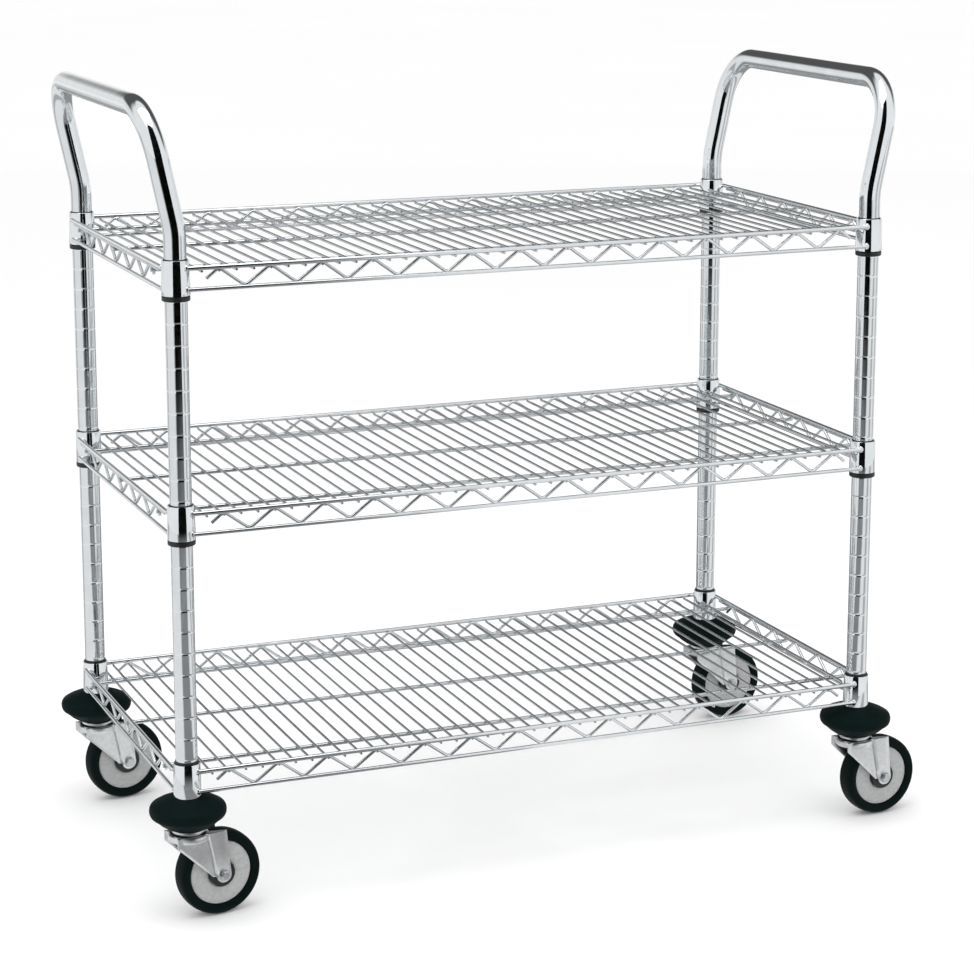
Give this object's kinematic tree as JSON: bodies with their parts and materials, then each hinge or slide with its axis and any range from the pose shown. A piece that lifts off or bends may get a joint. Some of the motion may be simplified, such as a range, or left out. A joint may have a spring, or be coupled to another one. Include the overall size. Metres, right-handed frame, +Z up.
{
  "type": "utility cart",
  "caption": "Rolling wire-shelf utility cart: chromed shelves clamped on bent tube uprights whose tops form push handles, with bumpers and swivel casters.",
  "frame": {"origin": "centre of the footprint on the floor, midway between the outermost points in X and in Y; the casters trail towards +X, so the middle of the four posts is at x = -0.021", "axes": "+X along the shelves towards the right-hand handle, +Y across the shelves away from the viewer, +Z up from the floor"},
  "size_m": [1.0126, 0.5134, 0.9534],
  "materials": {
    "chromed_tube": "bright nickel-chrome plate on 1 inch steel tube with shallow rolled ring grooves",
    "chromed_wire": "bright nickel-chrome plate over welded steel wire, slightly soft reflections",
    "zinc_plate": "clear zinc plate on pressed steel, satin",
    "sleeve_plastic": "moulded black plastic, satin",
    "bumper_rubber": "moulded black rubber, low sheen",
    "tyre_rubber": "black rubber, low sheen, lightly worn tread",
    "wheel_plastic": "light grey moulded plastic, matte"
  },
  "bodies": {
    "frame": {"upright_left": "chromed_tube", "upright_right": "chromed_tube", "bottom_deck": "chromed_wire", "bottom_truss_front": "chromed_wire", "bottom_truss_back": "chromed_wire", "bottom_end_left": "chromed_wire", "bottom_end_right": "chromed_wire", "middle_deck": "chromed_wire", "middle_truss_front": "chromed_wire", "middle_truss_back": "chromed_wire", "middle_end_left": "chromed_wire", "middle_end_right": "chromed_wire", "top_deck": "chromed_wire", "top_truss_front": "chromed_wire", "top_truss_back": "chromed_wire", "top_end_left": "chromed_wire", "top_end_right": "chromed_wire", "bottom_sleeve_front_left": "sleeve_plastic", "bottom_sleeve_front_right": "sleeve_plastic", "bottom_sleeve_back_left": "sleeve_plastic", "bottom_sleeve_back_right": "sleeve_plastic", "middle_sleeve_front_left": "sleeve_plastic", "middle_sleeve_front_right": "sleeve_plastic", "middle_sleeve_back_left": "sleeve_plastic", "middle_sleeve_back_right": "sleeve_plastic", "top_sleeve_front_left": "sleeve_plastic", "top_sleeve_front_right": "sleeve_plastic", "top_sleeve_back_left": "sleeve_plastic", "top_sleeve_back_right": "sleeve_plastic", "bumper_front_left": "bumper_rubber", "stem_front_left": "zinc_plate", "bumper_front_right": "bumper_rubber", "stem_front_right": "zinc_plate", "bumper_back_left": "bumper_rubber", "stem_back_left": "zinc_plate", "bumper_back_right": "bumper_rubber", "stem_back_right": "zinc_plate"},
    "fork_front_left": {"fork_front_left": "zinc_plate", "axle_bolt_front_left": "zinc_plate", "axle_nut_front_left": "zinc_plate"},
    "wheel_front_left": {"wheel_core_front_left": "wheel_plastic", "tyre_front_left": "tyre_rubber"},
    "fork_front_right": {"fork_front_right": "zinc_plate", "axle_bolt_front_right": "zinc_plate", "axle_nut_front_right": "zinc_plate"},
    "wheel_front_right": {"wheel_core_front_right": "wheel_plastic", "tyre_front_right": "tyre_rubber"},
    "fork_back_left": {"fork_back_left": "zinc_plate", "axle_bolt_back_left": "zinc_plate", "axle_nut_back_left": "zinc_plate"},
    "wheel_back_left": {"wheel_core_back_left": "wheel_plastic", "tyre_back_left": "tyre_rubber"},
    "fork_back_right": {"fork_back_right": "zinc_plate", "axle_bolt_back_right": "zinc_plate", "axle_nut_back_right": "zinc_plate"},
    "wheel_back_right": {"wheel_core_back_right": "wheel_plastic", "tyre_back_right": "tyre_rubber"}
  },
  "joints": [
    {"name": "swivel_front_left", "type": "hinge", "parent": "frame", "child": "fork_front_left", "pos_m": [-0.46146, -0.212, 0.105], "axis": [0, 0, 1], "continuous": true},
    {"name": "spin_front_left", "type": "hinge", "parent": "fork_front_left", "child": "wheel_front_left", "pos_m": [-0.4259, -0.20637, 0.0508], "axis": [-0.1564, 0.9877, 0], "continuous": true},
    {"name": "swivel_front_right", "type": "hinge", "parent": "frame", "child": "fork_front_right", "pos_m": [0.41954, -0.212, 0.105], "axis": [0, 0, 1], "continuous": true},
    {"name": "spin_front_right", "type": "hinge", "parent": "fork_front_right", "child": "wheel_front_right", "pos_m": [0.45541, -0.20886, 0.0508], "axis": [-0.0872, 0.9962, 0], "continuous": true},
    {"name": "swivel_back_left", "type": "hinge", "parent": "frame", "child": "fork_back_left", "pos_m": [-0.46146, 0.212, 0.105], "axis": [0, 0, 1], "continuous": true},
    {"name": "spin_back_left", "type": "hinge", "parent": "fork_back_left", "child": "wheel_back_left", "pos_m": [-0.42581, 0.21701, 0.0508], "axis": [-0.1392, 0.9903, 0], "continuous": true},
    {"name": "swivel_back_right", "type": "hinge", "parent": "frame", "child": "fork_back_right", "pos_m": [0.41954, 0.212, 0.105], "axis": [0, 0, 1], "continuous": true},
    {"name": "spin_back_right", "type": "hinge", "parent": "fork_back_right", "child": "wheel_back_right", "pos_m": [0.45541, 0.21514, 0.0508], "axis": [-0.0872, 0.9962, 0], "continuous": true}
  ]
}
